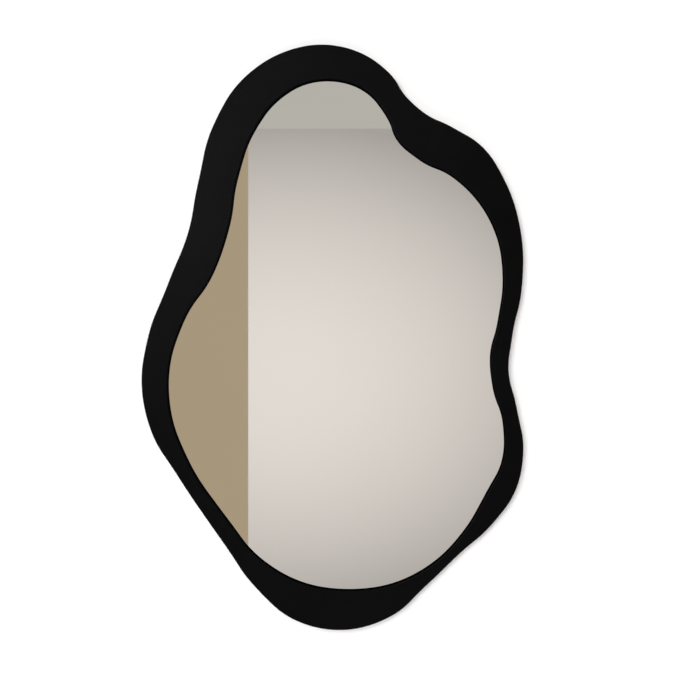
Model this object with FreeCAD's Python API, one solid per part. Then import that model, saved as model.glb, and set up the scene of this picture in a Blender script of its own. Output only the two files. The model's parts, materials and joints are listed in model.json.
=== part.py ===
import FreeCAD, Part
import math
import os

# Irregular wall mirror: a flat ring sawn from one board, with a wavy outer edge and a
# wavy sight edge, holds a sheet of mirror glass in a rebate. A back panel closes it, and
# two hinged rings on folded straps hang it from two hooks in the wall.
#
# All sizes are in millimetres. X runs to the right and Z up, as a viewer sees the face.
# Y runs away from the viewer. The wall is the plane Y = 0, so the whole mirror lies at
# Y below 0 with its face towards -Y. The origin is on the wall, midway between the hooks.

Vec = FreeCAD.Vector

# ---- outlines ----------------------------------------------------------------------
# Both edges are closed lines of tangent arcs, drawn clockwise from the top as seen from
# the front. Each point is (x, z) from the middle of the board, and the arcs pass through
# it in the direction of the circle through it and its two neighbours.
outer_points = [
    (-17, 460), (46, 446), (88, 416), (119, 374), (146, 351), (186, 331),
    (233, 301), (273, 240), (296, 160), (296, 72), (282, 4), (276, -54),
    (288, -108), (299, -178), (287, -240), (247, -297), (199, -340), (150, -387),
    (92, -438), (16, -460), (-62, -443), (-123, -391), (-171, -324), (-242, -220),
    (-284, -150), (-300, -72), (-290, 0), (-257, 88), (-227, 165), (-212, 240),
    (-190, 327), (-140, 407), (-80, 447),
]
sight_points = [
    (-7, 405), (49, 389), (86, 346), (101, 312), (137, 280), (189, 253),
    (230, 213), (258, 160), (268, 90), (260, 25), (248, -30), (252, -78),
    (268, -135), (267, -193), (240, -249), (209, -302), (160, -354), (99, -387),
    (27, -398), (-50, -386), (-115, -348), (-169, -283), (-226, -198), (-255, -120),
    (-257, -45), (-235, 25), (-188, 102), (-163, 175), (-150, 250), (-125, 322),
    (-85, 375), (-45, 399),
]

# ---- overall sizes -----------------------------------------------------------------
frame_width = 600.0
frame_height = 920.0

# ---- frame -------------------------------------------------------------------------
frame_thickness = 18.0
lip_thickness = 10.0
rebate_lap = 6.0            # how far the rebate runs outside the sight edge
outer_edge_chamfer = 1.5
sight_edge_chamfer = 1.0

# ---- glass and what lies behind it ---------------------------------------------------
glass_thickness = 4.0
glass_side_clearance = 1.0  # between the glass edge and the rebate wall
tape_thickness = 1.0
tape_setback = 1.5          # of the glazing tape from the sight edge and from the wall
film_thickness = 0.2
film_setback = 2.0          # of the safety film from the glass edge
strip_width = 25.0
strip_spacing = 80.0
strip_end_gap = 24.0        # from a foam strip's end to the film's edge
strip_count = 5

# ---- back panel and its screws -------------------------------------------------------
panel_thickness = 5.0
panel_setback = 3.0         # of the panel's edge from the frame's edge
panel_screw_count = 14       # even steps round the frame, some of which stay empty
panel_screw_inset = 10.0    # of the screws from the frame's edge
panel_screw_shank = 3.0
panel_screw_head = 6.0
panel_screw_head_height = 1.6
panel_screw_length = 14.0
screw_land = 4.5            # least distance from a screw's axis to the rebate wall
hanger_land = 20.0          # and to the middle line of a strap and its ring

# ---- hangers -------------------------------------------------------------------------
hanger_height = 300.0       # of the ring's pivot above the middle of the frame
strap_width = 16.0
strap_sheet = 1.0
strap_length = 48.0         # from the pivot to the round end
strap_hole = 4.2
strap_hole_places = (11.5, 36.0)    # below the pivot
fold_length = 7.5           # along which the upper leaf comes down to the lower leaf
ring_wire = 3.0
ring_inner_width = 22.0
ring_side = 5.0             # height of the straight sides above the pivot
ring_corner = 3.0           # bend radius of the wire's centre line
pivot_clearance = 0.1
ring_rest_gap = 0.3         # between the resting ring's end and the panel

# ---- hanger screws -------------------------------------------------------------------
hanger_screw_shank = 3.5
hanger_screw_head = 6.6
hanger_screw_head_height = 2.0
hanger_screw_length = 17.0
recess_width = 0.9
recess_depth = 1.1
pilot_clearance = 0.1       # radial and at the tip, round every screw's shank

# ---- wall bumpers --------------------------------------------------------------------
bumper_height = 6.0
bumper_diameter = 14.0
bumper_rim_chamfer = 2.0
bumper_inset = 22.0         # of the bumper's middle from the frame's edge
bumper_bearings = {         # degrees up from the right, seen from the middle of the frame
    "bumper_top_right": 75.0,
    "bumper_top_left": 105.0,
    "bumper_bottom_left": 240.0,
    "bumper_bottom_right": 300.0,
}

# ---- planes, counted from the wall ---------------------------------------------------
panel_back = -bumper_height
panel_front = panel_back - panel_thickness
frame_face = panel_front - frame_thickness
lip_back = frame_face + lip_thickness
glass_front = lip_back + tape_thickness
glass_back = glass_front + glass_thickness
film_back = glass_back + film_thickness

strap_top = panel_back + 2 * strap_sheet
pivot_y = panel_back + strap_sheet + ring_wire / 2 + pivot_clearance


# ---- outlines made of tangent arcs ---------------------------------------------------
def board_points(points):
    """The drawn points, stretched to the frame's width and height."""
    across = [x for x, z in outer_points]
    upright = [z for x, z in outer_points]
    stretch_x = frame_width / (max(across) - min(across))
    stretch_z = frame_height / (max(upright) - min(upright))
    return [Vec(x * stretch_x, 0, z * stretch_z) for x, z in points]


def point_direction(before, point, after):
    """The direction at a point of the circle through it and its two neighbours."""
    arriving = point - before
    leaving = after - point
    return (arriving / arriving.Length ** 2 + leaving / leaving.Length ** 2).normalize()


def meeting_station(start, start_way, end, end_way):
    """Where the two arcs between two points meet, and the direction there."""
    span = end - start
    ways = start_way + end_way
    spread = 2 * (1 - start_way.dot(end_way))
    along = span.dot(ways)
    if spread < 1e-9:
        reach = span.dot(span) / (2 * along)
    else:
        reach = (math.sqrt(along ** 2 + spread * span.dot(span)) - along) / spread
    first = start + start_way * reach
    last = end - end_way * reach
    return (first + last) / 2, (last - first).normalize()


def closed_outline(points):
    """Stations (point, direction) of a closed line, with one arc from each to the next."""
    count = len(points)
    ways = [point_direction(points[i - 1], points[i], points[(i + 1) % count]) for i in range(count)]
    stations = []
    for i in range(count):
        j = (i + 1) % count
        stations.append((points[i], ways[i]))
        stations.append(meeting_station(points[i], ways[i], points[j], ways[j]))
    return stations


def outward(way):
    """The direction to the left of a clockwise outline's direction, out of the outline."""
    return Vec(-way.z, 0, way.x)


def arc_edge(start, way, end):
    """The arc that leaves start in a given direction and ends at end."""
    chord = end - start
    side = outward(chord).normalize()
    turn = math.atan2(way.dot(side), way.dot(chord) / chord.Length)
    rise = chord.Length / 2 * math.tan(turn / 2)
    if abs(rise) < 1e-3:
        return Part.LineSegment(start, end).toShape()
    return Part.Arc(start, start + chord / 2 + side * rise, end).toShape()


def outline_wire(stations, growth, y):
    """The outline moved outwards by growth, or inwards where that is negative, at a depth."""
    depth = Vec(0, y, 0)
    moved = [(point + outward(way) * growth + depth, way) for point, way in stations]
    edges = []
    for i in range(len(moved)):
        start, way = moved[i - 1]
        edges.append(arc_edge(start, way, moved[i][0]))
    return Part.Wire(edges)


def outline_slab(stations, growth, front, back):
    """A board with the outline's shape between two depths."""
    face = Part.Face(outline_wire(stations, growth, front))
    return face.extrude(Vec(0, back - front, 0))


def crossing(wire, start, way):
    """Where a straight line from start meets a closed wire."""
    far = start + way * (frame_width + frame_height)
    pairs = wire.distToShape(Part.makeLine(start, far))[1]
    return pairs[0][0]


def edges_at(solid, y):
    """The edges of a solid that lie wholly at one depth."""
    found = []
    for edge in solid.Edges:
        box = edge.BoundBox
        if abs(box.YMin - y) < 1e-4 and abs(box.YMax - y) < 1e-4:
            found.append(edge)
    return found


outer = closed_outline(board_points(outer_points))
sight = closed_outline(board_points(sight_points))


# ---- places on the back ----------------------------------------------------------------
def band_middle(height, way):
    """The middle of the frame's band at a height, on the side that way points to."""
    start = Vec(0, 0, height)
    outer_hit = crossing(outline_wire(outer, 0, 0), start, way)
    sight_hit = crossing(outline_wire(sight, 0, 0), start, way)
    return (outer_hit.x + sight_hit.x) / 2


def panel_screw_places():
    """Even steps along the frame's edge, without those by a narrow band or a hanger."""
    line = outline_wire(outer, -panel_screw_inset, 0)
    rebate = outline_wire(sight, rebate_lap, 0)
    low = hanger_height - strap_length
    high = hanger_height + ring_reach
    hangers = Part.makeCompound([Part.makeLine(Vec(x, 0, low), Vec(x, 0, high)) for x in hanger_places.values()])
    places = []
    for point in line.discretize(Number=panel_screw_count + 1)[:-1]:
        spot = Part.Vertex(point)
        if spot.distToShape(rebate)[0] >= screw_land and spot.distToShape(hangers)[0] >= hanger_land:
            places.append(point)
    return places


def bumper_places():
    """Where each bumper sits, found along its bearing from the middle of the frame."""
    line = outline_wire(outer, -bumper_inset, 0)
    places = {}
    for name, bearing in bumper_bearings.items():
        turn = math.radians(bearing)
        places[name] = crossing(line, Vec(0, 0, 0), Vec(math.cos(turn), 0, math.sin(turn)))
    return places


strap_middle_height = hanger_height - sum(strap_hole_places) / len(strap_hole_places)
hanger_places = {
    "left": band_middle(strap_middle_height, Vec(-1, 0, 0)),
    "right": band_middle(strap_middle_height, Vec(1, 0, 0)),
}
hanger_screw_places = [
    Vec(x, 0, hanger_height - below) for x in hanger_places.values() for below in strap_hole_places
]

ring_reach = ring_side + (ring_inner_width + ring_wire) / 2     # pivot to the end's centre line
ring_end_y = panel_back + ring_rest_gap + ring_wire / 2
ring_lean = math.degrees(math.asin((pivot_y - ring_end_y) / ring_reach))
hook_height = hanger_height + (ring_reach - ring_wire / 2) * math.cos(math.radians(ring_lean))
hooks_middle = Vec(sum(hanger_places.values()) / 2, 0, hook_height)


# ---- pieces ------------------------------------------------------------------------------
def round_hole(place, radius, front, back):
    """A cylinder along Y at a place, for a hole or a shank."""
    return Part.makeCylinder(radius, back - front, Vec(place.x, front, place.z), Vec(0, 1, 0))


def screw_bores():
    """Each screw's place, and its clearance bore's radius and bottom."""
    bores = []
    for place in panel_screw_places():
        tip = panel_back - panel_screw_length - pilot_clearance
        bores.append((place, panel_screw_shank / 2 + pilot_clearance, tip))
    for place in hanger_screw_places:
        tip = strap_top - hanger_screw_length - pilot_clearance
        bores.append((place, hanger_screw_shank / 2 + pilot_clearance, tip))
    return bores


def make_frame():
    """The ring: eased face edges, a rebate behind the lip, and pilot holes from the back."""
    ring = outline_slab(outer, 0, frame_face, panel_front)
    ring = ring.makeChamfer(outer_edge_chamfer, edges_at(ring, frame_face))
    window = outline_slab(sight, 0, frame_face, panel_front)
    ring = ring.cut(window)
    sight_line = outline_wire(sight, 0, frame_face)
    sight_edges = [edge for edge in edges_at(ring, frame_face) if edge.distToShape(sight_line)[0] < 0.01]
    ring = ring.makeChamfer(sight_edge_chamfer, sight_edges)
    ring = ring.cut(outline_slab(sight, rebate_lap, lip_back, panel_front))
    pilots = [round_hole(place, radius, tip, panel_front) for place, radius, tip in screw_bores()]
    return ring.cut(Part.makeCompound(pilots))


def make_glazing_tape():
    """The foam band that the glass is pressed against, behind the lip."""
    band = outline_slab(sight, rebate_lap - tape_setback, lip_back, glass_front)
    return band.cut(outline_slab(sight, tape_setback, lip_back, glass_front))


def make_mirror_glass():
    """The sheet of silvered glass, cut to the rebate."""
    return outline_slab(sight, rebate_lap - glass_side_clearance, glass_front, glass_back)


def make_safety_film():
    """The film on the glass's back that holds splinters if the glass breaks."""
    growth = rebate_lap - glass_side_clearance - film_setback
    return outline_slab(sight, growth, glass_back, film_back)


def make_foam_strip(index):
    """One upright strip of foam tape between the film and the panel, cut square."""
    film_edge = outline_wire(sight, rebate_lap - glass_side_clearance - film_setback, 0)
    middle = (index - (strip_count - 1) / 2) * strip_spacing
    sides = (middle - strip_width / 2, middle + strip_width / 2)
    top = min(crossing(film_edge, Vec(x, 0, 0), Vec(0, 0, 1)).z for x in sides) - strip_end_gap
    low = max(crossing(film_edge, Vec(x, 0, 0), Vec(0, 0, -1)).z for x in sides) + strip_end_gap
    corner = Vec(sides[0], film_back, low)
    return Part.makeBox(strip_width, panel_front - film_back, top - low, corner)


def make_back_panel():
    """The thin board over the whole back, with a hole for every screw."""
    panel = outline_slab(outer, -panel_setback, panel_front, panel_back)
    holes = [round_hole(place, radius, panel_front, panel_back) for place, radius, tip in screw_bores()]
    return panel.cut(Part.makeCompound(holes))


def cross_recess(place, head, top):
    """The cross-shaped drive in a screw's head."""
    length = head / 2
    bar = Part.makeBox(length, recess_depth, recess_width)
    bar.translate(Vec(place.x - length / 2, top - recess_depth, place.z - recess_width / 2))
    cross_bar = bar.copy()
    cross_bar.rotate(Vec(place.x, 0, place.z), Vec(0, 1, 0), 90)
    return bar.fuse(cross_bar).removeSplitter()


def pan_screw(place, shank, head, head_height, length, seat):
    """A pan-headed screw that holds down whatever ends at its seat."""
    body = round_hole(place, shank / 2, seat - length, seat)
    cap = round_hole(place, head / 2, seat, seat + head_height)
    return body.fuse(cap).cut(cross_recess(place, head, seat + head_height))


def make_panel_screws():
    """The screws round the panel, as a group of separate solids."""
    sizes = (panel_screw_shank, panel_screw_head, panel_screw_head_height, panel_screw_length)
    return Part.makeCompound([pan_screw(place, *sizes, panel_back) for place in panel_screw_places()])


def make_hanger_screws():
    """The screws through the straps, as a group of separate solids."""
    sizes = (hanger_screw_shank, hanger_screw_head, hanger_screw_head_height, hanger_screw_length)
    return Part.makeCompound([pan_screw(place, *sizes, strap_top) for place in hanger_screw_places])


def make_hanger_strap(x):
    """A strip folded in two round the ring's bar, with a round end and two screw holes."""
    knuckle = ring_wire / 2 + pivot_clearance + strap_sheet
    leaf_top = 2 * strap_sheet
    fold = Vec(0, leaf_top, -fold_length)
    pivot = Vec(0, knuckle, 0)
    bearing = math.atan2(fold.z - pivot.z, fold.y - pivot.y)
    opening = math.acos(knuckle / (fold - pivot).Length)
    touch = pivot + Vec(0, math.cos(bearing + opening), math.sin(bearing + opening)) * knuckle
    heel = Vec(0, 0, 0)
    low_back = Vec(0, 0, -strap_length)
    low_top = Vec(0, leaf_top, -strap_length)
    crown = pivot + Vec(0, 0, knuckle)
    profile = Part.Wire([
        Part.LineSegment(low_back, heel).toShape(),
        Part.Arc(heel, crown, touch).toShape(),
        Part.LineSegment(touch, fold).toShape(),
        Part.LineSegment(fold, low_top).toShape(),
        Part.LineSegment(low_top, low_back).toShape(),
    ])
    strip = Part.Face(profile).extrude(Vec(strap_width, 0, 0))
    strip.translate(Vec(-strap_width / 2, 0, 0))
    eye = Part.makeCylinder(ring_wire / 2 + pivot_clearance, strap_width, Vec(-strap_width / 2, knuckle, 0), Vec(1, 0, 0))
    strip = strip.cut(eye)
    strip = strip.common(strap_plan(2 * knuckle))
    strip.translate(Vec(x, panel_back, hanger_height))
    holes = [
        round_hole(place, strap_hole / 2, panel_back, panel_back + leaf_top)
        for place in hanger_screw_places
    ]
    return strip.cut(Part.makeCompound(holes))


def strap_plan(height):
    """The strap seen from behind: straight sides and a half-round lower end."""
    half = strap_width / 2
    top = strap_sheet + ring_wire
    round_start = -strap_length + half
    plan = Part.Wire([
        Part.LineSegment(Vec(-half, 0, round_start), Vec(-half, 0, top)).toShape(),
        Part.LineSegment(Vec(-half, 0, top), Vec(half, 0, top)).toShape(),
        Part.LineSegment(Vec(half, 0, top), Vec(half, 0, round_start)).toShape(),
        Part.Arc(Vec(half, 0, round_start), Vec(0, 0, -strap_length), Vec(-half, 0, round_start)).toShape(),
    ])
    return Part.Face(plan).extrude(Vec(0, height, 0))


def make_hanger_ring(x):
    """A D of round wire: a bar through the strap's knuckle, two sides and a half-round end."""
    half = (ring_inner_width + ring_wire) / 2
    bend = ring_corner * (1 - math.cos(math.radians(45)))
    bar_end = half - ring_corner
    path = Part.Wire([
        Part.LineSegment(Vec(-bar_end, 0, 0), Vec(bar_end, 0, 0)).toShape(),
        Part.Arc(Vec(bar_end, 0, 0), Vec(half - bend, 0, bend), Vec(half, 0, ring_corner)).toShape(),
        Part.LineSegment(Vec(half, 0, ring_corner), Vec(half, 0, ring_side)).toShape(),
        Part.Arc(Vec(half, 0, ring_side), Vec(0, 0, ring_reach), Vec(-half, 0, ring_side)).toShape(),
        Part.LineSegment(Vec(-half, 0, ring_side), Vec(-half, 0, ring_corner)).toShape(),
        Part.Arc(Vec(-half, 0, ring_corner), Vec(-half + bend, 0, bend), Vec(-bar_end, 0, 0)).toShape(),
    ])
    section = Part.Wire(Part.Circle(Vec(-bar_end, 0, 0), Vec(1, 0, 0), ring_wire / 2).toShape())
    ring = path.makePipeShell([section], True, False)
    ring.rotate(Vec(0, 0, 0), Vec(1, 0, 0), ring_lean)
    ring.translate(Vec(x, pivot_y, hanger_height))
    return ring


def make_bumper(place):
    """A stick-on rubber stud with a chamfered rim and a flat end that meets the wall."""
    stud = round_hole(place, bumper_diameter / 2, panel_back, 0)
    return stud.makeChamfer(bumper_rim_chamfer, edges_at(stud, 0))


def save(name, shape):
    """Write one piece, moved so that the origin is midway between the hooks."""
    shape.translate(-hooks_middle)
    shape.exportStep(os.path.join("parts", name + ".step"))


def main():
    os.makedirs("parts", exist_ok=True)
    save("frame", make_frame())
    save("glazing_tape", make_glazing_tape())
    save("mirror_glass", make_mirror_glass())
    save("safety_film", make_safety_film())
    for index in range(strip_count):
        save("foam_strip_%d" % (index + 1), make_foam_strip(index))
    save("back_panel", make_back_panel())
    save("panel_screws", make_panel_screws())
    for side, x in hanger_places.items():
        save("hanger_strap_" + side, make_hanger_strap(x))
        save("hanger_ring_" + side, make_hanger_ring(x))
    save("hanger_screws", make_hanger_screws())
    for name, place in bumper_places().items():
        save(name, make_bumper(place))
        print(name, place - hooks_middle)
    print("pivots", [(x - hooks_middle.x, pivot_y, hanger_height - hooks_middle.z) for x in hanger_places.values()])
    print("origin from the middle of the frame", hooks_middle, "ring lean", ring_lean)


main()
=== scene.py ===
"""Looks of the irregular wall mirror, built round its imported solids.

The frame gets a lacquered ring with eased edges, the fasteners get domed heads and cross
recesses, the hanger straps get their fold seam, and every surface gets its own finish.
All sizes are in metres. X runs to the right and Z up, as a viewer sees the face. The wall
is the plane Y = 0 and the face looks towards -Y.
"""

import json
import math

import bmesh
import bpy
from mathutils import Matrix, Vector


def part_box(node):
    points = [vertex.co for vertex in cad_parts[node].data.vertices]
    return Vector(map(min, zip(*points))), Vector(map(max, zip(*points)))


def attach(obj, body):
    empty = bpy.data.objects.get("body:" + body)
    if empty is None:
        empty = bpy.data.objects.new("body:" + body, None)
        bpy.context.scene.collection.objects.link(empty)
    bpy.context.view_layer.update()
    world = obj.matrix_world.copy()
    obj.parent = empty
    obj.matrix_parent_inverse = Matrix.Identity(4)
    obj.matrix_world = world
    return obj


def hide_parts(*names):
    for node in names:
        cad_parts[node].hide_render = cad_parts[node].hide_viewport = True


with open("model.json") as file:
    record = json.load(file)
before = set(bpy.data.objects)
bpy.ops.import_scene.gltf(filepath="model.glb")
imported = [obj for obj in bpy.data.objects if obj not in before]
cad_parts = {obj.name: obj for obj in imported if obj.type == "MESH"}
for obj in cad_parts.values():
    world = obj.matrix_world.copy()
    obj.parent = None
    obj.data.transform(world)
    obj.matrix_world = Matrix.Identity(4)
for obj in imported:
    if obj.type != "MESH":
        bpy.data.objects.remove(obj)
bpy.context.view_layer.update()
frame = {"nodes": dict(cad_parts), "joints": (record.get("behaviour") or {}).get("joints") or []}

bl_info = {
    "name": "Irregular wall mirror",
    "version": (1, 0, 0),
    "blender": (4, 5, 0),
    "location": "3D View > Sidebar > Mirror",
    "description": "Makes a wavy wall mirror with its lacquered frame, glass, back and hangers",
    "category": "Object",
}

MM = 0.001
FLOOR_Z = -1.6              # the hooks are 1.6 m above the floor

# ---- outlines --------------------------------------------------------
# Both edges of the frame are closed lines of tangent arcs, drawn clockwise from the top as
# seen from the front. Each point is (x, z) in millimetres from the middle of the frame.
OUTER_POINTS = [
    (-17, 460), (46, 446), (88, 416), (119, 374), (146, 351), (186, 331),
    (233, 301), (273, 240), (296, 160), (296, 72), (282, 4), (276, -54),
    (288, -108), (299, -178), (287, -240), (247, -297), (199, -340), (150, -387),
    (92, -438), (16, -460), (-62, -443), (-123, -391), (-171, -324), (-242, -220),
    (-284, -150), (-300, -72), (-290, 0), (-257, 88), (-227, 165), (-212, 240),
    (-190, 327), (-140, 407), (-80, 447),
]
SIGHT_POINTS = [
    (-7, 405), (49, 389), (86, 346), (101, 312), (137, 280), (189, 253),
    (230, 213), (258, 160), (268, 90), (260, 25), (248, -30), (252, -78),
    (268, -135), (267, -193), (240, -249), (209, -302), (160, -354), (99, -387),
    (27, -398), (-50, -386), (-115, -348), (-169, -283), (-226, -198), (-255, -120),
    (-257, -45), (-235, 25), (-188, 102), (-163, 175), (-150, 250), (-125, 322),
    (-85, 375), (-45, 399),
]
ARC_STEP = 3 * MM           # longest side of the polygon that stands for an arc

# ---- details of the pieces -------------------------------------------
EASING_STEPS = 6            # faces across a rounded edge of the frame or a bumper
MATT_EASINGS = (1, 2)       # how many of them are matt at the outer edge, at the sight edge
BUMPER_SIDES = 48

PANEL_SCREW = (3.0 * MM, 1.5 * MM)      # radius of the head, radius of the shank
HANGER_SCREW = (3.3 * MM, 1.75 * MM)
SCREW_SIDES = 40
HEAD_WALL = 0.35            # upright part of a head, as a share of its height
DOME_REACH = 0.72           # how far a head's dome reaches in, as a share of its radius
DOME_STEPS = 8
TIP_RADIUS, TIP_LENGTH = 0.3, 3         # of a screw's blunt point, in radii of the shank
RECESS_REACH = 0.5          # length of a recess's arm, as a share of the head's radius
RECESS_TAPER = 0.4          # how much wider it is above the head, and narrower at its bottom
RECESS_TURN = 2.399963      # from one screw's recess to the next one's, in radians

STRAP_END_TURNS = range(6, 91, 7)       # degrees round a strap's end, from its tip
STRAP_FOLD_STEPS = 20
STRAP_BEVEL = 0.12 * MM
STRAP_BEVEL_ANGLE = 50      # degrees

# ---- places on the stage ---------------------------------------------
WALL_Y = 0.5 * MM           # clear of the bumpers, which touch the plane Y = 0
WALL_REACH, WALL_TOP = 7, 6
FLOOR_REACH = 60
FAR_GLOW = 0.95             # glow of the wall and the floor far from the mirror
WALL_FADE = (1.1, 1.8)      # how far from the hooks the glow starts to grow, and stops
FLOOR_FADE = (2.0, 6.0)
MIRRORED_GLOW = 0.6         # share of the glow that glossy surfaces show

KEY_PLACE, KEY_SIZE = (-1.0, -6.0, 0.5), 2.2
BACK_PLACE, BACK_SIZE = (1.2, 2.6, 0.9), 2.4
CARD_PLACE, CARD_SIZE = (-1.15, -3.2, 0.75), 1.1

ROOM_REACH = 6              # half the width of the reflected room
ROOM_BACK_Y = -5.0
ROOM_FRONT_Y = -1.5         # where its ceiling ends
ROOM_CEILING_Z = 0.68
ROOM_SIDE_X = -0.434        # edge of its side wall, which stands before its back wall
ROOM_SIDE_Y = ROOM_BACK_Y + 0.3
BRIGHTEST = (-0.28, ROOM_BACK_Y, -0.43)     # the spot of its back wall that has most light
FALL_OFF_SCALE = (0.8, 1.0, 1.0)        # the light falls off more slowly across
FALL_OFF_END = 1.3          # square of the distance at which it is dimmest
FALL_OFF_SHADE = 0.5


class MirrorFrameLook(bpy.types.PropertyGroup):
    """The lacquered frame."""

    outer_easing: bpy.props.FloatProperty(
        name="Outer easing", description="How far the rounding of the outer face edge reaches in",
        default=3.0 * MM, min=0.0005, max=0.01, subtype="DISTANCE", unit="LENGTH")
    outer_drop: bpy.props.FloatProperty(
        name="Outer drop", description="How deep the rounding of the outer face edge goes",
        default=2.0 * MM, min=0.0005, max=0.008, subtype="DISTANCE", unit="LENGTH")
    sight_easing: bpy.props.FloatProperty(
        name="Sight easing", description="How far the rounding of the sight edge reaches in",
        default=2.5 * MM, min=0.0005, max=0.007, subtype="DISTANCE", unit="LENGTH")
    sight_drop: bpy.props.FloatProperty(
        name="Sight drop", description="How deep the rounding of the sight edge goes",
        default=1.5 * MM, min=0.0005, max=0.008, subtype="DISTANCE", unit="LENGTH")
    rebate_lap: bpy.props.FloatProperty(
        name="Rebate lap", description="How far the rebate runs outside the sight edge",
        default=6.0 * MM, min=0.002, max=0.01, subtype="DISTANCE", unit="LENGTH")
    colour: bpy.props.FloatVectorProperty(
        name="Lacquer", description="Colour of the satin lacquer", size=3,
        default=(0.0014, 0.0014, 0.0018), min=0.0, max=1.0, subtype="COLOR")
    gloss: bpy.props.FloatProperty(
        name="Gloss", description="Specular level of the face's satin lacquer",
        default=0.04, min=0.0, max=1.0)
    roughness: bpy.props.FloatProperty(
        name="Roughness", description="Middle roughness of the face's lacquer",
        default=0.34, min=0.05, max=1.0)
    matt_roughness: bpy.props.FloatProperty(
        name="Matt roughness", description="Middle roughness of the thinly sprayed walls",
        default=0.85, min=0.05, max=1.0)


class MirrorGlassLook(bpy.types.PropertyGroup):
    """The silvered glass and what is bonded to it."""

    silver: bpy.props.FloatVectorProperty(
        name="Silver", description="Tint of the reflection", size=3,
        default=(0.93, 0.94, 0.93), min=0.0, max=1.0, subtype="COLOR")
    edge: bpy.props.FloatVectorProperty(
        name="Glass edge", description="Colour of the cut edge of the glass", size=3,
        default=(0.05, 0.16, 0.12), min=0.0, max=1.0, subtype="COLOR")
    film: bpy.props.FloatVectorProperty(
        name="Safety film", description="Colour of the film on the back of the glass", size=3,
        default=(0.42, 0.44, 0.46), min=0.0, max=1.0, subtype="COLOR")
    white_foam: bpy.props.FloatVectorProperty(
        name="White foam", description="Colour of the foam strips", size=3,
        default=(0.80, 0.80, 0.77), min=0.0, max=1.0, subtype="COLOR")
    black_foam: bpy.props.FloatVectorProperty(
        name="Black foam", description="Colour of the glazing tape", size=3,
        default=(0.018, 0.018, 0.019), min=0.0, max=1.0, subtype="COLOR")


class MirrorBackLook(bpy.types.PropertyGroup):
    """The back panel, its fasteners and the hangers."""

    board: bpy.props.FloatVectorProperty(
        name="Board", description="Middle colour of the raw fibreboard", size=3,
        default=(0.27, 0.155, 0.082), min=0.0, max=1.0, subtype="COLOR")
    zinc: bpy.props.FloatVectorProperty(
        name="Zinc", description="Colour of the plated screws, straps and rings", size=3,
        default=(0.60, 0.61, 0.63), min=0.0, max=1.0, subtype="COLOR")
    rubber: bpy.props.FloatVectorProperty(
        name="Rubber", description="Colour of the wall bumpers", size=3,
        default=(0.016, 0.016, 0.017), min=0.0, max=1.0, subtype="COLOR")
    recess_width: bpy.props.FloatProperty(
        name="Recess width", description="Width of each arm of a screw's cross recess",
        default=0.9 * MM, min=0.0003, max=0.002, subtype="DISTANCE", unit="LENGTH")
    recess_depth: bpy.props.FloatProperty(
        name="Recess depth", description="Depth of a screw's cross recess",
        default=1.0 * MM, min=0.0003, max=0.002, subtype="DISTANCE", unit="LENGTH")
    strap_sheet: bpy.props.FloatProperty(
        name="Strap sheet", description="Thickness of the sheet that a strap is folded from",
        default=1.0 * MM, min=0.0005, max=0.002, subtype="DISTANCE", unit="LENGTH")
    strap_fold: bpy.props.FloatProperty(
        name="Strap fold", description="How far below the pivot a strap's two leaves meet",
        default=7.5 * MM, min=0.004, max=0.012, subtype="DISTANCE", unit="LENGTH")
    rubber_rim: bpy.props.FloatProperty(
        name="Rubber rim", description="Radius of a bumper's rounded rim",
        default=2.0 * MM, min=0.0005, max=0.004, subtype="DISTANCE", unit="LENGTH")


class MirrorStageLook(bpy.types.PropertyGroup):
    """The camera, the lamps, the wall, the floor and what the glass reflects."""

    view_width: bpy.props.FloatProperty(
        name="View width", description="Width that the picture covers at the frame's face",
        default=1.099, min=0.5, max=3.0, subtype="DISTANCE", unit="LENGTH")
    view_x: bpy.props.FloatProperty(
        name="View X", description="Where the middle of the picture meets the face, across",
        default=0.0148, min=-1.0, max=1.0, subtype="DISTANCE", unit="LENGTH")
    view_z: bpy.props.FloatProperty(
        name="View Z", description="Where the middle of the picture meets the face, upright",
        default=-0.3359, min=-1.0, max=1.0, subtype="DISTANCE", unit="LENGTH")
    lens: bpy.props.FloatProperty(
        name="Lens", description="Focal length of the camera in millimetres",
        default=85.0, min=20.0, max=200.0)
    wall: bpy.props.FloatVectorProperty(
        name="Wall", description="Colour of the wall and the floor", size=3,
        default=(0.82, 0.82, 0.82), min=0.0, max=1.0, subtype="COLOR")
    reflected_wall: bpy.props.FloatVectorProperty(
        name="Reflected wall", description="Colour of the plain wall that the glass shows",
        size=3, default=(0.815, 0.750, 0.703), min=0.0, max=1.0, subtype="COLOR")
    reflected_ceiling: bpy.props.FloatVectorProperty(
        name="Reflected ceiling", description="Colour of the plain ceiling that the glass shows",
        size=3, default=(0.488, 0.464, 0.419), min=0.0, max=1.0, subtype="COLOR")
    reflected_side: bpy.props.FloatVectorProperty(
        name="Reflected side", description="Colour of the plain side wall that the glass shows",
        size=3, default=(0.407, 0.326, 0.219), min=0.0, max=1.0, subtype="COLOR")
    key_power: bpy.props.FloatProperty(
        name="Key lamp", description="Power of the large soft lamp before the face, in watts",
        default=280.0, min=0.0, max=1000.0)
    card: bpy.props.FloatProperty(
        name="Card", description="Brightness of the card whose reflection the lacquer shows",
        default=16.0, min=0.0, max=100.0)
    back_power: bpy.props.FloatProperty(
        name="Back lamp", description="Power of the soft lamp that lights the back, in watts",
        default=85.0, min=0.0, max=1000.0)
    glow: bpy.props.FloatProperty(
        name="Wall glow", description="How much the wall brightens itself where it shows",
        default=0.18, min=0.0, max=1.0)
    floor_glow: bpy.props.FloatProperty(
        name="Floor glow", description="How much the floor brightens itself where it shows",
        default=0.72, min=0.0, max=1.0)
    sky: bpy.props.FloatProperty(
        name="Sky", description="Strength of the even light from all round",
        default=0.25, min=0.0, max=2.0)


# ---- outlines made of tangent arcs -----------------------------------
def direction(angle):
    """The unit vector at an angle from X towards Z."""
    return Vector((math.cos(angle), 0, math.sin(angle)))


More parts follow.
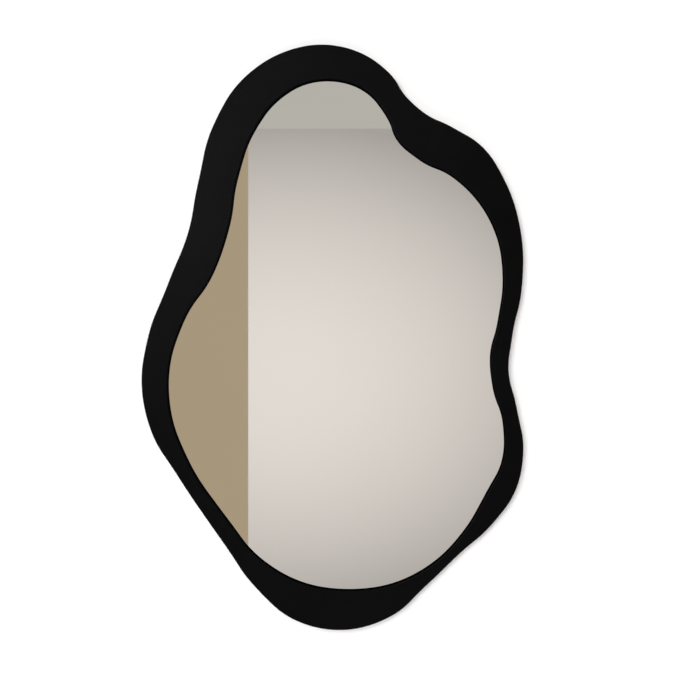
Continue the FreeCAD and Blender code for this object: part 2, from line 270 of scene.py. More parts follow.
def closed_outline(points):
    """Stations (point, direction) of a closed line, with one arc from each to the next."""
    count = len(points)
    ways = []
    for i in range(count):
        arriving = points[i] - points[i - 1]
        leaving = points[(i + 1) % count] - points[i]
        way = arriving / arriving.length_squared + leaving / leaving.length_squared
        ways.append(way.normalized())
    stations = []
    for i in range(count):
        j = (i + 1) % count
        span = points[j] - points[i]
        along = span.dot(ways[i] + ways[j])
        bend = 2 * (1 - ways[i].dot(ways[j]))
        if bend < 1e-9:
            reach = span.length_squared / (2 * along)
        else:
            reach = (math.sqrt(along ** 2 + bend * span.length_squared) - along) / bend
        first = points[i] + ways[i] * reach
        last = points[j] - ways[j] * reach
        stations.append((points[i], ways[i]))
        stations.append(((first + last) / 2, (last - first).normalized()))
    return stations


def arc_samples(start, way, end):
    """Points and directions along the arc that leaves start in a direction and ends at end."""
    chord = end - start
    heading = math.atan2(way.z, way.x)
    half_turn = math.remainder(math.atan2(chord.z, chord.x) - heading, 2 * math.pi)
    steps = max(2, math.ceil(chord.length / ARC_STEP))
    samples = []
    for k in range(steps):
        share = k / steps
        if abs(half_turn) < 1e-6:
            reach = share * chord.length
        else:
            reach = chord.length * math.sin(half_turn * share) / math.sin(half_turn)
        point = start + direction(heading + half_turn * share) * reach
        samples.append((point, direction(heading + 2 * half_turn * share)))
    return samples


def outline(points, stretch_x, stretch_z):
    """Samples (point, outward direction) of a closed line, with its points scaled to metres."""
    stations = closed_outline([Vector((x * stretch_x, 0, z * stretch_z)) for x, z in points])
    line = []
    for i in range(len(stations)):
        start, way = stations[i - 1]
        for point, heading in arc_samples(start, way, stations[i][0]):
            line.append((point, Vector((-heading.z, 0, heading.x))))
    return line


def extent(line):
    """The low and the high corner of a line's box."""
    across = [point.x for point, out in line]
    upright = [point.z for point, out in line]
    return Vector((min(across), 0, min(upright))), Vector((max(across), 0, max(upright)))


def frame_lines():
    """The frame's outer line and sight line, in the place and to the size of its solid."""
    low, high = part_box("frame")
    drawn_low, drawn_high = extent(outline(OUTER_POINTS, MM, MM))
    stretch_x = MM * (high.x - low.x) / (drawn_high.x - drawn_low.x)
    stretch_z = MM * (high.z - low.z) / (drawn_high.z - drawn_low.z)
    lines = [outline(points, stretch_x, stretch_z) for points in (OUTER_POINTS, SIGHT_POINTS)]
    drawn_low, drawn_high = extent(lines[0])
    shift = (low + high - drawn_low - drawn_high) / 2
    shift.y = 0
    return [[(point + shift, out) for point, out in line] for line in lines]


# ---- meshes ----------------------------------------------------------
def add_loop(mesh, line, growth, y):
    """One closed row of vertices: a line moved outwards by growth, at a depth."""
    spots = [point + out * growth for point, out in line]
    return [mesh.verts.new((spot.x, y, spot.z)) for spot in spots]


def join_loops(mesh, first, second):
    """The band of faces between two closed rows of as many vertices."""
    for i in range(len(first)):
        mesh.faces.new((first[i - 1], first[i], second[i], second[i - 1]))


def fill_between(mesh, first, second):
    """The flat face between an outer and an inner closed row."""
    edges = []
    for loop in (first, second):
        edges += [mesh.edges.get((loop[i - 1], loop[i])) for i in range(len(loop))]
    bmesh.ops.triangle_fill(mesh, edges=edges, use_beauty=True, use_dissolve=False)


def eased_edge(reach, drop, steps):
    """Points (inwards, down) of a rounded edge, from the wall up to the face."""
    turns = [math.pi / 2 * k / steps for k in range(steps + 1)]
    return [(reach * (1 - math.cos(turn)), drop * (1 - math.sin(turn))) for turn in turns]


def finish_mesh(mesh, name, sharp_angle=40):
    """An object made of a bmesh, with outward faces and smooth shading between sharp edges."""
    bmesh.ops.recalc_face_normals(mesh, faces=mesh.faces[:])
    limit = math.radians(sharp_angle)
    for face in mesh.faces:
        face.smooth = True
    for edge in mesh.edges:
        edge.smooth = edge.is_manifold and edge.calc_face_angle(0) < limit
    data = bpy.data.meshes.new(name)
    mesh.to_mesh(data)
    mesh.free()
    made = bpy.data.objects.new(name, data)
    bpy.context.scene.collection.objects.link(made)
    return made


def even_normals(made):
    """Let the large faces set the shading, so that a flat face beside a rounding stays flat."""
    weighted = made.modifiers.new("even_normals", "WEIGHTED_NORMAL")
    weighted.keep_sharp = True
    weighted.weight = 100
    return made


def turned(mesh, place, profile, sides):
    """Turn a profile of (radius, y) about the Y axis through a place, closed at both ends."""
    rings = []
    for radius, y in profile:
        ring = []
        for i in range(sides):
            spot = place + direction(2 * math.pi * i / sides) * radius
            ring.append(mesh.verts.new((spot.x, y, spot.z)))
        rings.append(ring)
    for first, second in zip(rings, rings[1:]):
        join_loops(mesh, first, second)
    mesh.faces.new(rings[0])
    mesh.faces.new(rings[-1])


def put_cross(mesh, middle, reach, width, depth, turn):
    """A tapered cross along Y, which cuts a recess of this depth below the head's middle."""
    side = width / 2
    quarter = [(side, reach), (side, side), (reach, side)]
    rings = []
    for way in (1, -1):
        y = middle.y + way * depth
        scale = 1 + way * RECESS_TAPER
        ring = []
        for part in range(4):
            tilt = Matrix.Rotation(turn + part * math.pi / 2, 3, "Y")
            for x, z in quarter:
                spot = tilt @ Vector((x, 0, z)) * scale
                ring.append(mesh.verts.new((middle.x + spot.x, y, middle.z + spot.z)))
        rings.append(ring)
    join_loops(mesh, *rings)
    for ring in rings:
        mesh.faces.new(ring)


def cut_away(body, cutter, name):
    """A new object: the body without what the cutter holds."""
    cut = body.modifiers.new("cut", "BOOLEAN")
    cut.operation = "DIFFERENCE"
    cut.solver = "EXACT"
    cut.object = cutter
    bpy.context.view_layer.update()
    depsgraph = bpy.context.evaluated_depsgraph_get()
    data = bpy.data.meshes.new_from_object(body.evaluated_get(depsgraph))
    made = bpy.data.objects.new(name, data)
    bpy.context.scene.collection.objects.link(made)
    for spent in (body, cutter):
        bpy.data.objects.remove(spent)
    return made


def solid_middles(node, spacing):
    """The middle of each separate round solid of a node, which stand at least spacing apart."""
    groups = []
    for vertex in frame["nodes"][node].data.vertices:
        spot = Vector((vertex.co.x, 0, vertex.co.z))
        near = [group for group in groups if (group[0] - spot).length < spacing]
        if near:
            near[0].append(spot)
        else:
            groups.append([spot])
    middles = []
    for group in groups:
        low, high = extent([(spot, None) for spot in group])
        middles.append((low + high) / 2)
    return middles


# ---- materials -------------------------------------------------------
def add(tree, kind, **inputs):
    """Add a node and fill its inputs, each with a value or with another node's output."""
    node = tree.nodes.new(kind)
    for name, value in inputs.items():
        socket = node.inputs[name.replace("_", " ")]
        if isinstance(value, bpy.types.NodeSocket):
            tree.links.new(value, socket)
        else:
            socket.default_value = value
    return node


def new_material(name):
    """An empty node material, with its shader and the object's own coordinates."""
    material = bpy.data.materials.new(name)
    material.use_nodes = True
    tree = material.node_tree
    tree.nodes.clear()
    shader = add(tree, "ShaderNodeBsdfPrincipled")
    output = add(tree, "ShaderNodeOutputMaterial")
    tree.links.new(shader.outputs["BSDF"], output.inputs["Surface"])
    coordinates = add(tree, "ShaderNodeTexCoord")
    return material, tree, shader, coordinates


def noise(tree, vector, scale, detail=3.0, roughness=0.5, swirl=0.0):
    """A noise texture's value, of a scale in cells per metre, drawn out into threads by swirl."""
    texture = add(
        tree, "ShaderNodeTexNoise", Vector=vector, Scale=scale, Detail=detail, Roughness=roughness,
        Distortion=swirl)
    return texture.outputs["Fac"]


def spread(tree, value, low, high, start=0.3, end=0.7):
    """A texture's value, spread from start and end to low and high."""
    node = add(
        tree, "ShaderNodeMapRange", Value=value, From_Min=start, From_Max=end,
        To_Min=low, To_Max=high)
    return node.outputs["Result"]


def blend(tree, factor, first, second):
    """A colour between two, each a colour or another node's output."""
    node = tree.nodes.new("ShaderNodeMix")
    node.data_type = "RGBA"
    for index, value in ((0, factor), (6, first), (7, second)):
        if isinstance(value, bpy.types.NodeSocket):
            tree.links.new(value, node.inputs[index])
        else:
            node.inputs[index].default_value = value
    return node.outputs[2]


def shade(colour, factor):
    """A colour made lighter or darker, with its alpha."""
    return tuple(channel * factor for channel in colour) + (1.0,)


def set_bump(tree, shader, height, strength, distance):
    """Give a shader a bump of a distance in metres."""
    bump = add(tree, "ShaderNodeBump", Height=height, Strength=strength, Distance=distance)
    tree.links.new(bump.outputs["Normal"], shader.inputs["Normal"])


def stretched(tree, coordinates, scale):
    """The object's coordinates, scaled by axis, for fibres and brush lines."""
    mapping = add(tree, "ShaderNodeMapping", Vector=coordinates.outputs["Object"], Scale=scale)
    return mapping.outputs["Vector"]


def lacquer(look, name, roughness, gloss):
    """Sprayed black lacquer, with a fine orange peel and a slightly uneven sheen."""
    material, tree, shader, coordinates = new_material(name)
    place = coordinates.outputs["Object"]
    cloud = noise(tree, place, 9.0, 2.0)
    peel = noise(tree, place, 900.0, 2.0)
    cloudy = spread(tree, cloud, 0.0, 1.0)
    colour = blend(tree, cloudy, shade(look.colour, 0.85), shade(look.colour, 1.2))
    tree.links.new(colour, shader.inputs["Base Color"])
    sheen = spread(tree, noise(tree, place, 45.0, 4.0), roughness - 0.03, roughness + 0.03)
    tree.links.new(sheen, shader.inputs["Roughness"])
    shader.inputs["Specular IOR Level"].default_value = gloss
    set_bump(tree, shader, peel, 0.08, 0.00004)
    return material


def silvered_glass(look):
    """A polished silver face, and a green edge where the sheet was cut."""
    material, tree, shader, coordinates = new_material("silvered_glass")
    place = coordinates.outputs["Object"]
    facing = add(tree, "ShaderNodeSeparateXYZ", Vector=coordinates.outputs["Normal"])
    steep = add(tree, "ShaderNodeMath")
    steep.operation = "ABSOLUTE"
    tree.links.new(facing.outputs["Y"], steep.inputs[0])
    face = spread(tree, steep.outputs[0], 0.0, 1.0, 0.45, 0.55)
    film = spread(tree, noise(tree, place, 6.0, 2.0), 0.98, 1.0)
    tint = blend(tree, film, shade(look.silver, 0.985), shade(look.silver, 1.0))
    tree.links.new(blend(tree, face, shade(look.edge, 1.0), tint), shader.inputs["Base Color"])
    tree.links.new(face, shader.inputs["Metallic"])
    polish = spread(tree, noise(tree, place, 14.0, 3.0), 0.006, 0.016)
    rough = add(tree, "ShaderNodeMapRange", Value=face, To_Min=0.22, To_Max=polish)
    tree.links.new(rough.outputs["Result"], shader.inputs["Roughness"])
    return material


def safety_film(look):
    """Grey film with faint lengthwise streaks."""
    material, tree, shader, coordinates = new_material("safety_film")
    streaks = noise(tree, stretched(tree, coordinates, (160.0, 1.0, 3.0)), 1.0, 3.0)
    streaky = spread(tree, streaks, 0.0, 1.0)
    colour = blend(tree, streaky, shade(look.film, 0.9), shade(look.film, 1.08))
    tree.links.new(colour, shader.inputs["Base Color"])
    tree.links.new(spread(tree, streaks, 0.28, 0.42), shader.inputs["Roughness"])
    set_bump(tree, shader, streaks, 0.2, 0.00003)
    return material


def foam(name, colour, contrast):
    """Closed-cell foam with its fine cells."""
    material, tree, shader, coordinates = new_material(name)
    cells = add(tree, "ShaderNodeTexVoronoi", Vector=coordinates.outputs["Object"], Scale=2200.0)
    depth = cells.outputs["Distance"]
    tone = spread(tree, depth, 1.0, 0.0, 0.0, 0.8)
    mixed = blend(tree, tone, shade(colour, 1.0 - contrast), shade(colour, 1.0 + contrast * 0.4))
    tree.links.new(mixed, shader.inputs["Base Color"])
    tree.links.new(spread(tree, depth, 0.85, 0.97, 0.0, 0.8), shader.inputs["Roughness"])
    shader.inputs["Specular IOR Level"].default_value = 0.3
    set_bump(tree, shader, depth, 0.6, 0.00012)
    return material


def fibreboard(look):
    """Raw brown fibreboard: pressed fibres in all directions, with dark flecks."""
    material, tree, shader, coordinates = new_material("raw_fibreboard")
    place = coordinates.outputs["Object"]
    long_fibres = noise(tree, place, 210.0, 7.0, 0.68, 2.2)
    cross_fibres = noise(tree, place, 420.0, 6.0, 0.7, 3.5)
    cloud = noise(tree, place, 7.0, 3.0)
    flecks = noise(tree, place, 520.0, 2.0)
    threads = spread(tree, long_fibres, 0.0, 1.0, 0.35, 0.65)
    colour = blend(tree, threads, shade(look.board, 0.72), shade(look.board, 1.28))
    layers = (
        (spread(tree, cross_fibres, 0.0, 0.55, 0.4, 0.65), 1.45),
        (spread(tree, cloud, 0.0, 0.35), 0.62),
        (spread(tree, flecks, 0.0, 0.8, 0.66, 0.74), 0.3),
    )
    for cover, tone in layers:
        colour = blend(tree, cover, colour, shade(look.board, tone))
    tree.links.new(colour, shader.inputs["Base Color"])
    tree.links.new(spread(tree, long_fibres, 0.72, 0.9), shader.inputs["Roughness"])
    shader.inputs["Specular IOR Level"].default_value = 0.35
    set_bump(tree, shader, cross_fibres, 0.5, 0.00012)
    return material


def zinc_plate(name, colour, line_scale, tint):
    """Zinc-plated steel with fine lines and a faint cloudy tint."""
    material, tree, shader, coordinates = new_material(name)
    place = coordinates.outputs["Object"]
    lines = noise(tree, stretched(tree, coordinates, line_scale), 1.0, 4.0)
    cloud = noise(tree, place, 160.0, 3.0)
    tinted = tuple(channel * part for channel, part in zip(colour, tint))
    mixed = blend(tree, spread(tree, cloud, 0.0, 1.0), shade(colour, 1.0), shade(tinted, 0.9))
    tree.links.new(mixed, shader.inputs["Base Color"])
    shader.inputs["Metallic"].default_value = 1.0
    tree.links.new(spread(tree, lines, 0.24, 0.4), shader.inputs["Roughness"])
    set_bump(tree, shader, lines, 0.25, 0.00002)
    return material


def bumper_rubber(look):
    """Soft black rubber with a matt, faintly dusty skin."""
    material, tree, shader, coordinates = new_material("stud_rubber")
    place = coordinates.outputs["Object"]
    dust = noise(tree, place, 700.0, 4.0)
    dusty = spread(tree, dust, 0.0, 1.0)
    colour = blend(tree, dusty, shade(look.rubber, 0.8), shade(look.rubber, 1.6))
    tree.links.new(colour, shader.inputs["Base Color"])
    tree.links.new(spread(tree, dust, 0.5, 0.68), shader.inputs["Roughness"])
    shader.inputs["Specular IOR Level"].default_value = 0.4
    set_bump(tree, shader, dust, 0.3, 0.00005)
    return material


def paint(made, material):
    """Give an object one material."""
    made.data.materials.clear()
    made.data.materials.append(material)


def seat(made, body, slot, *nodes):
    """Let a piece ride on its body and stand for its solids. Its slot is not used."""
    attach(made, body)
    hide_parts(*nodes)


# ---- operators: the pieces -------------------------------------------
class MIRROR_OT_frame(bpy.types.Operator):
    """Make the wavy lacquered frame with its eased face edges, matt walls and rebate"""

    bl_idname = "wavy_mirror.make_frame"
    bl_label = "Frame"

    def execute(self, context):
        look = context.scene.mirror_frame_look
        low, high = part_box("frame")
        lip_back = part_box("glazing_tape")[0].y
        outer, sight = frame_lines()
        mesh = bmesh.new()
        rows = [add_loop(mesh, outer, 0, high.y)]
        for inward, down in eased_edge(look.outer_easing, look.outer_drop, EASING_STEPS):
            rows.append(add_loop(mesh, outer, -inward, low.y + down))
        for first, second in zip(rows, rows[1:]):
            join_loops(mesh, first, second)
        matt_side = (1 + MATT_EASINGS[0]) * len(outer)
        inner = [add_loop(mesh, sight, look.rebate_lap, high.y)]
        inner.append(add_loop(mesh, sight, look.rebate_lap, lip_back))
        inner.append(add_loop(mesh, sight, 0, lip_back))
        walls = len(inner)
        for inward, down in eased_edge(look.sight_easing, look.sight_drop, EASING_STEPS):
            inner.append(add_loop(mesh, sight, inward, low.y + down))
        inner_start = len(mesh.faces)
        inner_end = inner_start + (walls + MATT_EASINGS[1]) * len(sight)
        for first, second in zip(inner, inner[1:]):
            join_loops(mesh, first, second)
        fill_between(mesh, rows[-1], inner[-1])
        fill_between(mesh, rows[0], inner[0])
        ring = even_normals(finish_mesh(mesh, "lacquered_frame"))
        paint(ring, lacquer(look, "satin_lacquer", look.roughness, look.gloss))
        ring.data.materials.append(lacquer(look, "thin_lacquer", look.matt_roughness, 0.0))
        faces = ring.data.polygons
        for face in faces[:matt_side] + faces[inner_start:inner_end]:
            face.material_index = 1
        seat(ring, "mirror", "frame_lacquer", "frame")
        return {"FINISHED"}


class MIRROR_OT_glass(bpy.types.Operator):
    """Finish the silvered glass, its glazing tape and the film on its back"""

    bl_idname = "wavy_mirror.make_glass"
    bl_label = "Glass, tape and film"

    def execute(self, context):
        look = context.scene.mirror_glass_look
        paint(frame["nodes"]["mirror_glass"], silvered_glass(look))
        paint(frame["nodes"]["glazing_tape"], foam("glazing_foam", look.black_foam, 0.4))
        paint(frame["nodes"]["safety_film"], safety_film(look))
        return {"FINISHED"}


class MIRROR_OT_foam_strips(bpy.types.Operator):
    """Finish the upright foam strips between the glass and the back panel"""

    bl_idname = "wavy_mirror.make_foam_strips"
    bl_label = "Foam strips"

    def execute(self, context):
        material = foam("pressed_foam", context.scene.mirror_glass_look.white_foam, 0.2)
        for name, solid in frame["nodes"].items():
            if name.startswith("foam_strip"):
                paint(solid, material)
        return {"FINISHED"}


class MIRROR_OT_back_panel(bpy.types.Operator):
    """Finish the fibreboard back panel"""

    bl_idname = "wavy_mirror.make_back_panel"
    bl_label = "Back panel"

    def execute(self, context):
        paint(frame["nodes"]["back_panel"], fibreboard(context.scene.mirror_back_look))
        return {"FINISHED"}


class MIRROR_OT_screws(bpy.types.Operator):
    """Make the domed screws of the back panel and of the hanger straps"""

    bl_idname = "wavy_mirror.make_screws"
    bl_label = "Screws"

    def execute(self, context):
        look = context.scene.mirror_back_look
        material = zinc_plate("zinc_screws", look.zinc, (900.0, 900.0, 900.0), (1.0, 0.93, 0.78))
        panel_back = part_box("back_panel")[1].y
        strap_back = panel_back + 2 * look.strap_sheet
        self.make(look, material, "panel_screws", panel_back, *PANEL_SCREW)
        self.make(look, material, "hanger_screws", strap_back, *HANGER_SCREW)
        return {"FINISHED"}

    def make(self, look, material, node, seat_y, head_radius, shank_radius):
        """All the screws of one node, each with its own turn of the recess."""
        tip_y, top_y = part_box(node)[0].y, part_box(node)[1].y
        wall = HEAD_WALL * (top_y - seat_y)
        dome = eased_edge(head_radius, top_y - seat_y - wall, DOME_STEPS)
        profile = [(TIP_RADIUS * shank_radius, tip_y)]
        profile += [(shank_radius, tip_y + TIP_LENGTH * shank_radius)]
        profile += [(shank_radius, seat_y), (head_radius, seat_y)]
        profile += [(head_radius - DOME_REACH * inward, top_y - down) for inward, down in dome]
        body_mesh, cutter_mesh = bmesh.new(), bmesh.new()
        for number, place in enumerate(solid_middles(node, 3 * head_radius)):
            turned(body_mesh, place, profile, SCREW_SIDES)
            put_cross(
                cutter_mesh, place + Vector((0, top_y, 0)), RECESS_REACH * head_radius,
                look.recess_width, look.recess_depth, number * RECESS_TURN)
        body = finish_mesh(body_mesh, node + "_blank")
        cutter = finish_mesh(cutter_mesh, node + "_cutter")
        screws = cut_away(body, cutter, "domed_" + node)
        paint(screws, material)
        seat(screws, "mirror", "screw_steel", node)


class MIRROR_OT_straps(bpy.types.Operator):
    """Fold the two hanger straps from sheet, round the bars of their rings"""

    bl_idname = "wavy_mirror.make_straps"
    bl_label = "Hanger straps"

    def execute(self, context):
        look = context.scene.mirror_back_look
        material = zinc_plate("zinc_straps", look.zinc, (1500.0, 1500.0, 60.0), (0.97, 0.97, 1.0))
        for joint in frame["joints"]:
            side = "left" if "left" in joint["name"] else "right"
            node = "hanger_strap_" + side
            pivot = Vector(joint["pos_m"])
            strap = self.fold(look, node, pivot)
            paint(strap, material)
            seat(strap, "mirror", "strap_steel", node)
        return {"FINISHED"}

    def path(self, look, low, high, pivot):
        """Points (y, z, normal angle) along the middle of the sheet, from end to end."""
        sheet = look.strap_sheet
        radius = pivot.y - low.y - sheet / 2
        upper_y = low.y + 1.5 * sheet
        fold_z = pivot.z - look.strap_fold
        gap = math.hypot(upper_y - pivot.y, fold_z - pivot.z)
        bearing = math.atan2(fold_z - pivot.z, upper_y - pivot.y)
        touch = bearing + math.acos(radius / gap)
        half = (high.x - low.x) / 2
        round_z = low.z + half
        ends = [round_z - half * math.cos(math.radians(turn)) for turn in STRAP_END_TURNS]
        points = [(low.y + sheet / 2, z, math.pi) for z in ends]
        points.append((low.y + sheet / 2, pivot.z, math.pi))
        for k in range(1, STRAP_FOLD_STEPS + 1):
            angle = math.pi + (touch - math.pi) * k / STRAP_FOLD_STEPS
            y = pivot.y + radius * math.cos(angle)
            points.append((y, pivot.z + radius * math.sin(angle), angle))
        points.append((upper_y, fold_z, touch / 2))
        points += [(upper_y, z, 0.0) for z in reversed(ends)]
        return points

    def fold(self, look, node, pivot):
        """One strap: the sheet's section carried along its path, with round ends."""
        low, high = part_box(node)
        half = (high.x - low.x) / 2
        middle_x = (low.x + high.x) / 2
        round_z = low.z + half
        mesh = bmesh.new()
        rows = []
        for y, z, angle in self.path(look, low, high, pivot):
            wide = half if z > round_z else math.sqrt(max(0, half ** 2 - (round_z - z) ** 2))
            out = Vector((0, math.cos(angle), math.sin(angle))) * (look.strap_sheet / 2)
            left, right = Vector((middle_x - wide, y, z)), Vector((middle_x + wide, y, z))
            corners = (left + out, right + out, right - out, left - out)
            rows.append([mesh.verts.new(corner) for corner in corners])
        for first, second in zip(rows, rows[1:]):
            join_loops(mesh, first, second)
        mesh.faces.new(rows[0])
        mesh.faces.new(rows[-1])
        strap = finish_mesh(mesh, "folded_" + node, sharp_angle=35)
        bevel = strap.modifiers.new("dulled_edges", "BEVEL")
        bevel.width = STRAP_BEVEL
        bevel.segments = 2
        bevel.limit_method = "ANGLE"
        bevel.angle_limit = math.radians(STRAP_BEVEL_ANGLE)
        return strap


class MIRROR_OT_rings(bpy.types.Operator):
    """Finish the two hinged wire rings"""

    bl_idname = "wavy_mirror.make_rings"
    bl_label = "Hanger rings"

    def execute(self, context):
        look = context.scene.mirror_back_look
        material = zinc_plate("zinc_rings", look.zinc, (700.0, 700.0, 700.0), (0.98, 0.98, 1.0))
        for side in ("left", "right"):
            paint(frame["nodes"]["hanger_ring_" + side], material)
        return {"FINISHED"}


class MIRROR_OT_bumpers(bpy.types.Operator):
    """Make the four rubber wall bumpers with their rounded rims"""

    bl_idname = "wavy_mirror.make_bumpers"
    bl_label = "Wall bumpers"

    def execute(self, context):
        look = context.scene.mirror_back_look
        material = bumper_rubber(look)
        for node in sorted(frame["nodes"]):
            if not node.startswith("bumper_"):
                continue
            low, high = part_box(node)
            radius = (high.x - low.x) / 2
            rim = eased_edge(look.rubber_rim, look.rubber_rim, EASING_STEPS)
            profile = [(radius, low.y)]
            profile += [(radius - inward, high.y - down) for inward, down in rim]
            mesh = bmesh.new()
            turned(mesh, (low + high) / 2, profile, BUMPER_SIDES)
            stud = even_normals(finish_mesh(mesh, "rounded_" + node))
            paint(stud, material)
            seat(stud, "mirror", "bumper_rubber", node)
        return {"FINISHED"}


# ---- operators: the stage --------------------------------------------
class MIRROR_OT_stage(bpy.types.Operator):
    """Set the camera, the lamps, the wall, the floor and the plain room that the glass shows"""

    bl_idname = "wavy_mirror.make_stage"
    bl_label = "Stage"

    def execute(self, context):
        look = context.scene.mirror_stage_look
        self.camera(context.scene, look)
        self.lamps(look)
        self.world(context.scene, look)
        self.wall_and_floor(look)
        self.reflected_room(look)
        context.scene.view_settings.view_transform = "Standard"
        return {"FINISHED"}

    def camera(self, scene, look):
        """A camera square to the face, at the distance that its lens needs."""
        data = bpy.data.cameras.new("camera")
        data.lens = look.lens
        distance = look.view_width * data.lens / data.sensor_width
        camera = bpy.data.objects.new("camera", data)
        camera.location = (look.view_x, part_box("frame")[0].y - distance, look.view_z)
        camera.rotation_euler = (math.pi / 2, 0, 0)
        scene.collection.objects.link(camera)
        scene.camera = camera

    def lamp(self, name, place, aim, size, power):
        """A square soft lamp that points at aim."""
        data = bpy.data.lights.new(name, "AREA")
        data.shape = "SQUARE"
        data.size = size
        data.energy = power
        lamp = bpy.data.objects.new(name, data)
        lamp.location = place
        lamp.rotation_euler = (Vector(aim) - Vector(place)).to_track_quat("-Z", "Y").to_euler()
        bpy.context.scene.collection.objects.link(lamp)
        return lamp

    def lamps(self, look):
        """A key lamp beyond the reflected room and one that lights the back."""
        aim = (look.view_x, 0, look.view_z)
        key = self.lamp("key_lamp", KEY_PLACE, aim, KEY_SIZE, look.key_power)
        key.visible_glossy = False
        self.lamp("back_lamp", BACK_PLACE, aim, BACK_SIZE, look.back_power)

    def world(self, scene, look):
        """Even light from all round, which shows as white behind the mirror."""
        world = bpy.data.worlds.new("studio")
        world.use_nodes = True
        tree = world.node_tree
        tree.nodes.clear()
        path = add(tree, "ShaderNodeLightPath")
        shows = self.shows_itself(tree, path)
        dim = add(tree, "ShaderNodeBackground", Strength=look.sky)
        white = add(tree, "ShaderNodeBackground", Strength=1.0)
        for background in (dim, white):
            background.inputs["Color"].default_value = (1, 1, 1, 1)
        mixed = add(tree, "ShaderNodeMixShader", Fac=shows)
        tree.links.new(dim.outputs[0], mixed.inputs[1])
        tree.links.new(white.outputs[0], mixed.inputs[2])
        output = add(tree, "ShaderNodeOutputWorld")
        tree.links.new(mixed.outputs[0], output.inputs["Surface"])
        scene.world = world

    def shows_itself(self, tree, path):
        """1 for rays that show the background: from the camera, or through gloss or glass."""
        total = path.outputs["Is Camera Ray"]
        for name in ("Is Glossy Ray", "Is Transmission Ray"):
            sum_node = add(tree, "ShaderNodeMath")
            sum_node.operation = "MAXIMUM"
            tree.links.new(total, sum_node.inputs[0])
            tree.links.new(path.outputs[name], sum_node.inputs[1])
            total = sum_node.outputs[0]
        return total

    def plane(self, name, corners, material):
        """A flat four-cornered stage piece."""
        data = bpy.data.meshes.new(name)
        data.from_pydata(corners, [], [(0, 1, 2, 3)])
        made = bpy.data.objects.new(name, data)
        bpy.context.scene.collection.objects.link(made)
        data.materials.append(material)
        return made

    def pale_surface(self, name, colour, glow, fade):
        """A matt material that brightens itself, more with distance, and shows its front only."""
        material, tree, shader, coordinates = new_material(name)
        grain = noise(tree, coordinates.outputs["Object"], 300.0, 3.0)
        mixed = blend(tree, grain, shade(colour, 0.99), shade(colour, 1.01))
        tree.links.new(mixed, shader.inputs["Base Color"])
        shader.inputs["Roughness"].default_value = 1.0
        shader.inputs["Specular IOR Level"].default_value = 0.0
        path = add(tree, "ShaderNodeLightPath")
        distance = add(tree, "ShaderNodeVectorMath", Vector=coordinates.outputs["Object"])
        distance.operation = "LENGTH"
        grown = spread(tree, distance.outputs["Value"], glow, FAR_GLOW, *fade)
        seen = path.outputs["Is Camera Ray"]
        strength = spread(tree, seen, MIRRORED_GLOW * glow, grown, 0.0, 1.0)
        bright = add(tree, "ShaderNodeEmission", Strength=strength)
        lit = add(tree, "ShaderNodeAddShader")
        tree.links.new(shader.outputs[0], lit.inputs[0])
        tree.links.new(bright.outputs[0], lit.inputs[1])
        shown = add(tree, "ShaderNodeMixShader", Fac=self.shows_itself(tree, path))
        tree.links.new(shader.outputs[0], shown.inputs[1])
        tree.links.new(lit.outputs[0], shown.inputs[2])
        geometry = add(tree, "ShaderNodeNewGeometry")
        clear = add(tree, "ShaderNodeBsdfTransparent")
        sided = add(tree, "ShaderNodeMixShader", Fac=geometry.outputs["Backfacing"])
        tree.links.new(shown.outputs[0], sided.inputs[1])
        tree.links.new(clear.outputs[0], sided.inputs[2])
        output = [node for node in tree.nodes if node.type == "OUTPUT_MATERIAL"][0]
        tree.links.new(sided.outputs[0], output.inputs["Surface"])
        return material

    def wall_and_floor(self, look):
        """A white wall and a pale floor. From behind or below, neither hides the mirror."""
        wall = self.plane(
            "stage_wall",
            self.upright(-WALL_REACH, WALL_REACH, WALL_Y, WALL_TOP),
            self.pale_surface("stage_wall", look.wall, look.glow, WALL_FADE))
        wall.visible_shadow = False
        wall.visible_diffuse = False
        wall.visible_glossy = False
        wall.visible_transmission = False
        reach = FLOOR_REACH
        self.plane(
            "stage_floor",
            [(x, y, FLOOR_Z) for x, y in (
                (-reach, -reach), (reach, -reach), (reach, reach), (-reach, reach))],
            self.pale_surface("stage_floor", look.wall, look.floor_glow, FLOOR_FADE))

    def upright(self, left, right, y, top):
        """The corners of a stage wall that stands on the floor."""
        return [(left, y, FLOOR_Z), (right, y, FLOOR_Z), (right, y, top), (left, y, top)]

    def reflected_room(self, look):
        """A plain back wall, side wall, ceiling and bright card that only glossy surfaces show."""
        reach, top = ROOM_REACH, ROOM_CEILING_Z
        ceiling = [
            (-reach, ROOM_BACK_Y, top), (reach, ROOM_BACK_Y, top),
            (reach, ROOM_FRONT_Y, top), (-reach, ROOM_FRONT_Y, top)]
        parts = (
            ("room_back", look.reflected_wall, self.upright(-reach, reach, ROOM_BACK_Y, top), 1.0),
            ("room_ceiling", look.reflected_ceiling, ceiling, 1.0),
            ("room_side", look.reflected_side,
             self.upright(-reach, ROOM_SIDE_X, ROOM_SIDE_Y, top), 1.0),
            ("soft_card", (1.0, 1.0, 1.0), self.card_corners(look), look.card),
        )
        for part in parts:
            self.shown_to_gloss(*part)

    def card_corners(self, look):
        """The corners of a square card that faces the middle of the picture."""
        place = Vector(CARD_PLACE)
        towards = (Vector((look.view_x, 0, look.view_z)) - place).normalized()
        aside = towards.cross(Vector((0, 0, 1))).normalized() * (CARD_SIZE / 2)
        up = aside.cross(towards).normalized() * (CARD_SIZE / 2)
        return [place + aside * x + up * z for x, z in ((-1, -1), (1, -1), (1, 1), (-1, 1))]

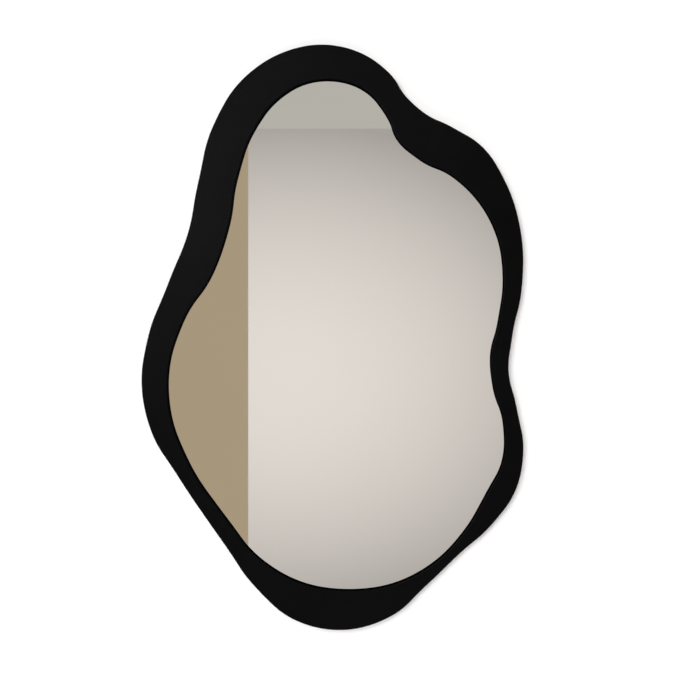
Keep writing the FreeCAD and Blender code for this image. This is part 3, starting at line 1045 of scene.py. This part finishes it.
    def shown_to_gloss(self, name, colour, corners, strength):
        """A glowing flat piece that only glossy surfaces show."""
        material = bpy.data.materials.new(name)
        material.use_nodes = True
        tree = material.node_tree
        tree.nodes.clear()
        coordinates = add(tree, "ShaderNodeTexCoord")
        grain = noise(tree, coordinates.outputs["Object"], 1.5, 2.0)
        mixed = blend(tree, grain, shade(colour, 0.98), shade(colour, 1.02))
        if name == "room_back":
            mixed = self.fall_off(tree, coordinates, mixed, colour)
        glow = add(tree, "ShaderNodeEmission", Color=mixed, Strength=strength)
        output = add(tree, "ShaderNodeOutputMaterial")
        tree.links.new(glow.outputs[0], output.inputs["Surface"])
        made = self.plane(name, corners, material)
        made.visible_camera = False
        made.visible_diffuse = False
        made.visible_shadow = False

    def fall_off(self, tree, coordinates, mixed, colour):
        """Let the reflected wall grow dimmer away from its brightest spot, as under one lamp."""
        shift = tuple(-middle * factor for middle, factor in zip(BRIGHTEST, FALL_OFF_SCALE))
        place = add(
            tree, "ShaderNodeMapping", Vector=coordinates.outputs["Object"], Location=shift,
            Scale=FALL_OFF_SCALE)
        square = tree.nodes.new("ShaderNodeVectorMath")
        square.operation = "DOT_PRODUCT"
        for socket in square.inputs[:2]:
            tree.links.new(place.outputs["Vector"], socket)
        dim = spread(tree, square.outputs["Value"], 0.0, 1.0, 0.0, FALL_OFF_END)
        return blend(tree, dim, mixed, shade(colour, FALL_OFF_SHADE))


class VIEW3D_PT_mirror(bpy.types.Panel):
    """Sidebar panel that lists the mirror's pieces"""

    bl_idname = "VIEW3D_PT_wavy_mirror"
    bl_label = "Irregular mirror"
    bl_space_type = "VIEW_3D"
    bl_region_type = "UI"
    bl_category = "Mirror"

    def draw(self, context):
        for kind in PIECES:
            self.layout.operator(kind.bl_idname, text=kind.bl_label)
        for name in LOOKS:
            box = self.layout.box()
            look = getattr(context.scene, name)
            for prop in look.bl_rna.properties:
                if prop.identifier not in ("rna_type", "name"):
                    box.prop(look, prop.identifier)


LOOKS = {
    "mirror_frame_look": MirrorFrameLook,
    "mirror_glass_look": MirrorGlassLook,
    "mirror_back_look": MirrorBackLook,
    "mirror_stage_look": MirrorStageLook,
}
PIECES = (
    MIRROR_OT_frame, MIRROR_OT_glass, MIRROR_OT_foam_strips, MIRROR_OT_back_panel,
    MIRROR_OT_screws, MIRROR_OT_straps, MIRROR_OT_rings, MIRROR_OT_bumpers, MIRROR_OT_stage,
)


def register():
    for look in LOOKS.values():
        bpy.utils.register_class(look)
    for name, look in LOOKS.items():
        setattr(bpy.types.Scene, name, bpy.props.PointerProperty(type=look))
    for kind in PIECES:
        bpy.utils.register_class(kind)
    bpy.utils.register_class(VIEW3D_PT_mirror)


def unregister():
    bpy.utils.unregister_class(VIEW3D_PT_mirror)
    for kind in reversed(PIECES):
        bpy.utils.unregister_class(kind)
    for name, look in LOOKS.items():
        delattr(bpy.types.Scene, name)
        bpy.utils.unregister_class(look)


def main():
    register()
    for kind in PIECES:
        group, name = kind.bl_idname.split(".")
        getattr(getattr(bpy.ops, group), name)()


if __name__ == "__main__":
    main()
